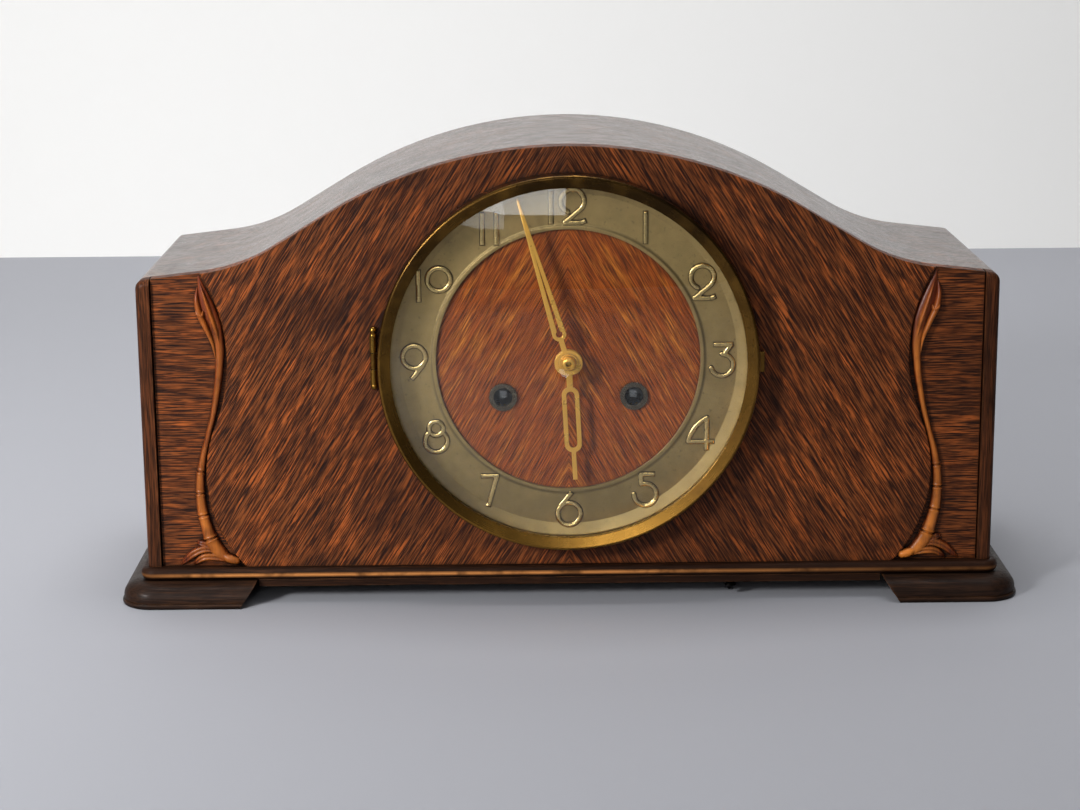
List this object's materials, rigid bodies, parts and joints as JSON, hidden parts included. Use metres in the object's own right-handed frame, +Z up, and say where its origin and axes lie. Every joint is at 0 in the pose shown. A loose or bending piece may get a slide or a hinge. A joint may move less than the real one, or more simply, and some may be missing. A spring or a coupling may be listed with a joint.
{
  "type": "pendulum mantel clock",
  "caption": "Bow-topped wooden mantel clock with a hinged round glass bezel, brass chapter ring, carved stems and a pendulum striking movement.",
  "frame": {"origin": "on the floor under the middle of the clock's outer box", "axes": "+X to the clock's right as seen from the front, +Y to the back, +Z up; the dial faces -Y"},
  "size_m": [0.484, 0.1816, 0.2449],
  "materials": {
    "field_veneer": "satin lacquered veneer",
    "panel_veneer": "satin lacquered veneer",
    "top_veneer": "satin lacquered veneer",
    "side_veneer": "satin lacquered veneer",
    "dark_wood": "dark stained, satin",
    "foot_wood": "dark stained, satin",
    "back_wood": "plain plywood, matt",
    "carving_wood": "carved, waxed",
    "dial_veneer": "satin lacquered veneer",
    "ring_brass": "aged, brushed",
    "black_metal": "blackened",
    "bezel_brass": "aged, polished",
    "rim_brass": "polished",
    "hinge_brass": "worn",
    "plate_brass": "brushed",
    "wheel_brass": "polished",
    "hand_brass": "polished",
    "bob_brass": "polished",
    "steel": "plain",
    "dark_steel": "blackened",
    "spring_steel": "blued",
    "cast_iron": "painted",
    "glass": "clear domed"
  },
  "bodies": {
    "case": {"front_board": "field_veneer", "centre_panel": "panel_veneer", "top_panel": "top_veneer", "case_sides": "side_veneer", "front_stiles": "dark_wood", "base_board": "dark_wood", "bottom_rail": "dark_wood", "left_foot": "foot_wood", "right_foot": "foot_wood", "back_frame": "back_wood", "carved_stems": "carving_wood", "dial_disc": "dial_veneer", "chapter_ring": "ring_brass", "winding_grommets": "black_metal", "bezel_hinge": "hinge_brass", "door_hinges": "hinge_brass", "front_plate": "plate_brass", "back_plate": "plate_brass", "plate_pillars": "steel", "movement_posts": "steel", "suspension_cock": "plate_brass", "gong_block": "cast_iron", "gong_rods": "steel"},
    "bezel": {"bezel": "bezel_brass", "glass": "glass", "glass_ring": "rim_brass"},
    "door": {"back_door": "back_wood", "door_knob": "dark_wood", "door_leaves": "hinge_brass"},
    "minute": {"minute_hand": "hand_brass", "hand_nut": "hand_brass", "cannon_pinion": "steel"},
    "minute_wheel": {"minute_wheel": "wheel_brass"},
    "hour": {"hour_hand": "hand_brass", "hour_wheel": "wheel_brass"},
    "escape_wheel": {"escape_wheel": "wheel_brass"},
    "third_wheel": {"third_wheel": "wheel_brass"},
    "centre_wheel": {"centre_wheel": "wheel_brass"},
    "time_second_wheel": {"time_second_wheel": "wheel_brass"},
    "time_barrel": {"time_barrel": "wheel_brass", "time_mainspring": "spring_steel"},
    "time_winding": {"time_winding_arbor": "dark_steel"},
    "time_click": {"time_click": "steel"},
    "fly": {"fly": "steel"},
    "warning_wheel": {"warning_wheel": "wheel_brass"},
    "stop_wheel": {"stop_wheel": "wheel_brass"},
    "pin_wheel": {"pin_wheel": "wheel_brass"},
    "strike_second_wheel": {"strike_second_wheel": "wheel_brass"},
    "strike_barrel": {"strike_barrel": "wheel_brass", "strike_mainspring": "spring_steel"},
    "strike_winding": {"strike_winding_arbor": "dark_steel"},
    "strike_click": {"strike_click": "steel"},
    "pendulum": {"suspension_spring": "spring_steel", "pendulum_rod": "steel", "pendulum_bob": "bob_brass"},
    "rating_nut": {"rating_nut": "bob_brass"},
    "anchor": {"anchor": "steel"},
    "hammer": {"hammer_arbor": "steel", "hammer_heads": "bob_brass"},
    "base_knob": {"base_knob": "black_metal"}
  },
  "joints": [
    {"name": "bezel_swing", "type": "hinge", "parent": "case", "child": "bezel", "pos_m": [-0.1026, -0.07385, 0.1327], "axis": [0, 0, -1], "range_deg": [0, 115]},
    {"name": "door_swing", "type": "hinge", "parent": "case", "child": "door", "pos_m": [-0.1254, 0.08578, 0.1311], "axis": [0, 0, 1], "range_deg": [0, 115]},
    {"name": "minute_turn", "type": "hinge", "parent": "case", "child": "minute", "pos_m": [0, -0.04425, 0.1311], "axis": [0, 1, 0], "continuous": true},
    {"name": "minute_wheel_turn", "type": "hinge", "parent": "case", "child": "minute_wheel", "pos_m": [0, -0.04425, 0.1167], "axis": [0, 1, 0], "continuous": true},
    {"name": "hour_turn", "type": "hinge", "parent": "case", "child": "hour", "pos_m": [0, -0.04425, 0.1311], "axis": [0, 1, 0], "continuous": true},
    {"name": "escape_turn", "type": "hinge", "parent": "case", "child": "escape_wheel", "pos_m": [0, -0.04425, 0.1681], "axis": [0, 1, 0], "continuous": true},
    {"name": "third_turn", "type": "hinge", "parent": "case", "child": "third_wheel", "pos_m": [0.0059, -0.04425, 0.15125], "axis": [0, 1, 0], "continuous": true},
    {"name": "centre_turn", "type": "hinge", "parent": "case", "child": "centre_wheel", "pos_m": [0, -0.04425, 0.1311], "axis": [0, 1, 0], "continuous": true},
    {"name": "time_second_turn", "type": "hinge", "parent": "case", "child": "time_second_wheel", "pos_m": [0.02194, -0.04425, 0.1371], "axis": [0, 1, 0], "continuous": true},
    {"name": "time_barrel_turn", "type": "hinge", "parent": "case", "child": "time_barrel", "pos_m": [0.03475, -0.04425, 0.1113], "axis": [0, 1, 0], "continuous": true},
    {"name": "time_winding", "type": "hinge", "parent": "case", "child": "time_winding", "pos_m": [0.03475, -0.04425, 0.1113], "axis": [0, 1, 0], "continuous": true},
    {"name": "time_click_lift", "type": "hinge", "parent": "case", "child": "time_click", "pos_m": [0.04439, -0.04425, 0.12279], "axis": [0, 1, 0], "range_deg": [0, 10], "stiffness_Nm_per_rad": 0.004, "springref_deg": -5.73},
    {"name": "fly_turn", "type": "hinge", "parent": "case", "child": "fly", "pos_m": [-0.03785, -0.04425, 0.1716], "axis": [0, 1, 0], "continuous": true},
    {"name": "warning_turn", "type": "hinge", "parent": "case", "child": "warning_wheel", "pos_m": [-0.02901, -0.04425, 0.1748], "axis": [0, 1, 0], "continuous": true},
    {"name": "stop_turn", "type": "hinge", "parent": "case", "child": "stop_wheel", "pos_m": [-0.02523, -0.04425, 0.16278], "axis": [0, 1, 0], "continuous": true},
    {"name": "pin_turn", "type": "hinge", "parent": "case", "child": "pin_wheel", "pos_m": [-0.03803, -0.04425, 0.15318], "axis": [0, 1, 0], "continuous": true},
    {"name": "strike_second_turn", "type": "hinge", "parent": "case", "child": "strike_second_wheel", "pos_m": [-0.02194, -0.04425, 0.1371], "axis": [0, 1, 0], "continuous": true},
    {"name": "strike_barrel_turn", "type": "hinge", "parent": "case", "child": "strike_barrel", "pos_m": [-0.03475, -0.04425, 0.1113], "axis": [0, 1, 0], "continuous": true},
    {"name": "strike_winding", "type": "hinge", "parent": "case", "child": "strike_winding", "pos_m": [-0.03475, -0.04425, 0.1113], "axis": [0, 1, 0], "continuous": true},
    {"name": "strike_click_lift", "type": "hinge", "parent": "case", "child": "strike_click", "pos_m": [-0.04439, -0.04425, 0.12279], "axis": [0, 1, 0], "range_deg": [-10, 0], "stiffness_Nm_per_rad": 0.004, "springref_deg": 5.73},
    {"name": "pendulum_swing", "type": "hinge", "parent": "case", "child": "pendulum", "pos_m": [0, -0.00075, 0.1811], "axis": [0, 1, 0], "range_deg": [-3, 3]},
    {"name": "anchor_rock", "type": "hinge", "parent": "case", "child": "anchor", "pos_m": [0, -0.04425, 0.1811], "axis": [0, 1, 0], "range_deg": [-3, 3]},
    {"name": "rating_turn", "type": "hinge", "parent": "pendulum", "child": "rating_nut", "pos_m": [0, -0.00075, 0.0416], "axis": [0, 0, 1], "continuous": true},
    {"name": "hammer_lift", "type": "hinge", "parent": "case", "child": "hammer", "pos_m": [-0.0575, -0.04425, 0.0931], "axis": [0, 1, 0], "range_deg": [-12, 0]},
    {"name": "base_knob_turn", "type": "hinge", "parent": "case", "child": "base_knob", "pos_m": [0.087, -0.06825, 0.0195], "axis": [0, 0, 1], "range_deg": [-90, 90]}
  ],
  "couplings": [
    {"joint": "minute_wheel_turn", "follows": "minute_turn", "ratio": -0.33333},
    {"joint": "hour_turn", "follows": "minute_turn", "ratio": 0.083333},
    {"joint": "third_turn", "follows": "escape_turn", "ratio": -0.089744},
    {"joint": "centre_turn", "follows": "escape_turn", "ratio": 0.0081585},
    {"joint": "time_second_turn", "follows": "escape_turn", "ratio": -0.0013598},
    {"joint": "time_barrel_turn", "follows": "escape_turn", "ratio": 0.00016997},
    {"joint": "warning_turn", "follows": "fly_turn", "ratio": -0.175},
    {"joint": "stop_turn", "follows": "fly_turn", "ratio": 0.029167},
    {"joint": "pin_turn", "follows": "fly_turn", "ratio": -0.0041667},
    {"joint": "strike_second_turn", "follows": "fly_turn", "ratio": 0.00069444},
    {"joint": "strike_barrel_turn", "follows": "fly_turn", "ratio": -0.000086806},
    {"joint": "anchor_rock", "follows": "pendulum_swing", "ratio": 1}
  ]
}
